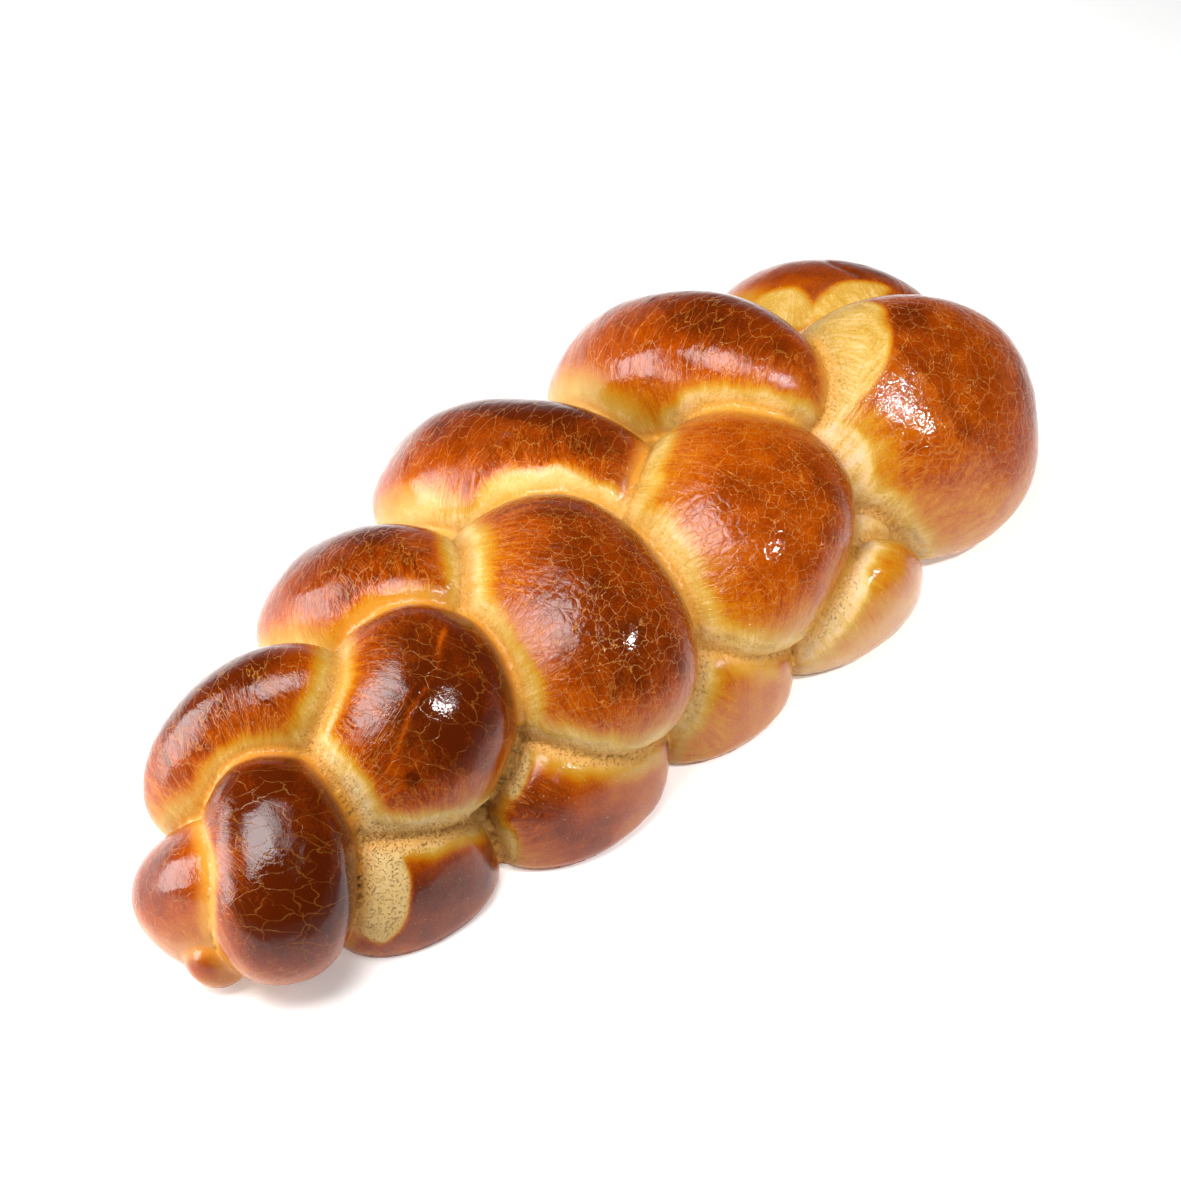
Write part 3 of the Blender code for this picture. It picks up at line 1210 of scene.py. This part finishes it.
@dataclass(frozen=True)
class Lamp:
    """One soft light panel.

    Attributes:
        name: What it is.
        azimuth: Where it stands: 0 is on the loaf's right (-Y), -90 at its tail, in degrees.
        elevation: How high it stands, in degrees.
        distance: From the loaf's middle, in metres.
        size: Its width and height, in metres.
        power: In watts.
        roll: Degrees that its top leans towards larger azimuths.
        beam: Full angle of its beam in degrees, or None for a panel that shines all ways.
        aim: How far towards the head its beam is turned, in metres.
    """

    name: str
    azimuth: float
    elevation: float
    distance: float
    size: tuple[float, float]
    power: float
    roll: float = 0.0
    beam: float | None = None
    aim: float = 0.0

    def build(self, target: Vector) -> None:
        """Hangs the lamp so that it faces the target."""
        if self.beam is None:
            data = bpy.data.lights.new(self.name, "AREA")
            data.shape = "RECTANGLE"
            data.size, data.size_y = self.size
        else:
            data = bpy.data.lights.new(self.name, "SPOT")
            data.shadow_soft_size = self.size[0] / 2
            data.spot_size = math.radians(self.beam)
            data.spot_blend = 1.0
        data.energy = self.power
        lamp = bpy.data.objects.new(self.name, data)
        away = direction(self.azimuth, self.elevation)
        lamp.location = target + away * self.distance
        lamp.rotation_mode = "QUATERNION"
        lean = Quaternion(away, math.radians(-self.roll))
        facing = lamp.location - target - Vector((self.aim, 0.0, 0.0))
        lamp.rotation_quaternion = lean @ facing.to_track_quat("Z", "Y")
        bpy.context.scene.collection.objects.link(lamp)


def direction(azimuth: float, elevation: float) -> Vector:
    """Args:
        azimuth: 0 is -Y, and -90 is -X, in degrees.
        elevation: Above the floor, in degrees.

    Returns:
        The unit vector that points there.
    """
    turn, rise = math.radians(azimuth), math.radians(elevation)
    level = math.cos(rise)
    return Vector((math.sin(turn) * level, -math.cos(turn) * level, math.sin(rise)))


@dataclass(frozen=True)
class Studio:
    """A white table in a plain studio, its lights, and the camera.

    Attributes:
        floor: Colour of the table.
        floor_half: Half its side, in metres.
        table_glow: Light that comes up through the table top.
        lamps: The soft lights.
        horizon: Brightness of the lit surroundings, near the floor.
        ceiling: Brightness of the dark room overhead.
        azimuth: Where the camera stands, in degrees.
        elevation: How high it stands, in degrees.
        distance: From what it looks at, in metres.
        target: What it looks at, in metres.
        focal: Length of the lens, in millimetres.
    """

    floor: str = "#f6f5f4"
    floor_half: float = 4.0
    lamps: tuple[Lamp, ...] = (
        Lamp("skylight", -100, 67, 0.85, (0.46, 0.60), 10.7, 20),
        Lamp("window", -131, 13, 0.85, (0.63, 0.42), 8.1, 27),
        Lamp("spot", 12, 52, 1.1, (0.09, 0.09), 38.0, beam=32.0, aim=0.14),
    )
    table_glow: float = 0.32
    horizon: float = 0.3
    ceiling: float = 0.02
    azimuth: float = -47.3
    elevation: float = 45.0
    distance: float = 1.15
    target: tuple[float, float, float] = (0.002, -0.0115, 0.036)
    focal: float = 100.0

    def build(self) -> None:
        """Sets the whole studio up."""
        self._floor()
        self._surroundings()
        for lamp in self.lamps:
            lamp.build(Vector(self.target))
            log.info("lamp %s: %.0f W", lamp.name, lamp.power)
        self._camera()

    def _floor(self) -> None:
        """Lays the table top."""
        half = self.floor_half
        mesh = bpy.data.meshes.new("floor")
        corners = [(-half, -half, 0), (half, -half, 0), (half, half, 0), (-half, half, 0)]
        mesh.from_pydata(corners, [], [(0, 1, 2, 3)])
        floor = bpy.data.objects.new("floor", mesh)
        material = bpy.data.materials.new("matt_white_table")
        material.use_nodes = True
        surface = material.node_tree.nodes["Principled BSDF"]
        surface.inputs["Base Color"].default_value = linear(self.floor)
        surface.inputs["Roughness"].default_value = 0.9
        surface.inputs["Specular IOR Level"].default_value = 0.0
        surface.inputs["Emission Color"].default_value = (1, 1, 1, 1)
        surface.inputs["Emission Strength"].default_value = self.table_glow
        mesh.materials.append(material)
        bpy.context.scene.collection.objects.link(floor)

    def _surroundings(self) -> None:
        """Lights the world: bright near the horizon, dark overhead."""
        world = bpy.data.worlds.new("studio")
        world.use_nodes = True
        tree = world.node_tree
        tree.nodes.clear()
        where = add_node(tree, "ShaderNodeTexCoord").outputs["Generated"]
        height = add_node(tree, "ShaderNodeSeparateXYZ", {0: where}).outputs["Z"]
        strength = add_node(
            tree,
            "ShaderNodeMapRange",
            {
                "Value": height,
                "From Min": 0.12,
                "From Max": 0.32,
                "To Min": self.horizon,
                "To Max": self.ceiling,
            },
            interpolation_type="SMOOTHSTEP",
        ).outputs[0]
        light = add_node(
            tree, "ShaderNodeBackground", {"Color": (1, 1, 1, 1), "Strength": strength}
        )
        add_node(tree, "ShaderNodeOutputWorld", {"Surface": light.outputs[0]})
        bpy.context.scene.world = world

    def _camera(self) -> None:
        """Stands the camera at its angle."""
        data = bpy.data.cameras.new("camera")
        data.sensor_width = 36.0
        data.lens = self.focal
        camera = bpy.data.objects.new("camera", data)
        away = direction(self.azimuth, self.elevation)
        camera.location = Vector(self.target) + away * self.distance
        camera.rotation_mode = "QUATERNION"
        camera.rotation_quaternion = away.to_track_quat("Z", "Y")
        bpy.context.scene.collection.objects.link(camera)
        bpy.context.scene.camera = camera


def main() -> None:
    """Builds the loaf and its studio."""
    logging.basicConfig(level=logging.INFO, format="%(name)s: %(message)s")
    crust = EggWashedCrust().build()
    loaf = Loaf().build(crust)
    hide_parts("loaf")
    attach(loaf, "root")
    Studio().build()
    bpy.context.scene.view_settings.view_transform = "Standard"
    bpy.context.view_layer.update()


if __name__ == "__main__":
    main()
